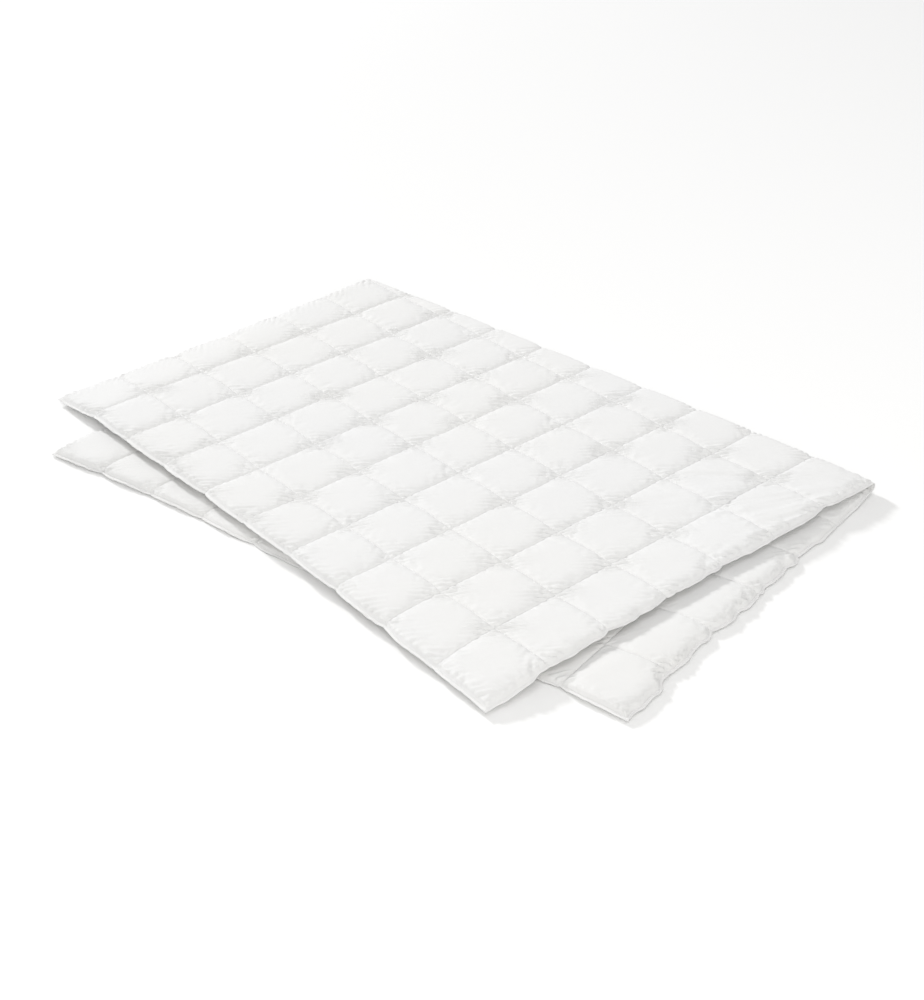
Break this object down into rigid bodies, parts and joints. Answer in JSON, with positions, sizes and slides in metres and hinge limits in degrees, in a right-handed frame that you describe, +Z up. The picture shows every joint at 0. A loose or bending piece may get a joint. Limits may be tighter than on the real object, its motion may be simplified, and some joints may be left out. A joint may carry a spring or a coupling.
{
  "type": "box-stitched down quilt",
  "caption": "Light rectangular down quilt with stitched-through square boxes and a flat hem, folded over itself along a slanting line and hinged there so that it opens flat.",
  "frame": {"origin": "on the floor, under the centre of the folded quilt's bounding box", "axes": "+X runs along the fold, +Y points from the fold to the free edges, +Z up"},
  "size_m": [1.74, 1.0716, 0.0363],
  "materials": {
    "outer_cloth": "white downproof cotton percale with a soft sheen, puckered along every seam",
    "inner_cloth": "white downproof cotton percale with a soft sheen, puckered along every seam",
    "down": "loose white down clusters, sealed between the two plies",
    "thread": "white spun polyester quilting thread",
    "hem_cloth": "the same white percale turned in and topstitched flat"
  },
  "bodies": {
    "lower_leaf": {"lower_outer_panel": "outer_cloth", "lower_inner_panel": "inner_cloth", "lower_down_channel_01": "down", "lower_down_channel_02": "down", "lower_down_channel_03": "down", "lower_down_channel_04": "down", "lower_down_channel_05": "down", "lower_down_channel_06": "down", "lower_down_channel_07": "down", "lower_down_channel_08": "down", "lower_down_channel_09": "down", "lower_down_channel_10": "down", "lower_stitching": "thread", "lower_left_hem": "hem_cloth", "lower_right_hem": "hem_cloth", "lower_foot_hem": "hem_cloth", "lower_corner_fold": "hem_cloth"},
    "upper_leaf": {"upper_outer_panel": "outer_cloth", "upper_inner_panel": "inner_cloth", "upper_down_channel_01": "down", "upper_down_channel_02": "down", "upper_down_channel_03": "down", "upper_down_channel_04": "down", "upper_down_channel_05": "down", "upper_down_channel_06": "down", "upper_down_channel_07": "down", "upper_down_channel_08": "down", "upper_down_channel_09": "down", "upper_down_channel_10": "down", "upper_stitching": "thread", "upper_left_hem": "hem_cloth", "upper_right_hem": "hem_cloth", "upper_head_hem": "hem_cloth"}
  },
  "joints": [
    {"name": "main_fold", "type": "hinge", "parent": "lower_leaf", "child": "upper_leaf", "pos_m": [0, -0.5359, 0.01815], "axis": [1, 0, 0], "range_deg": [0, 180]}
  ]
}
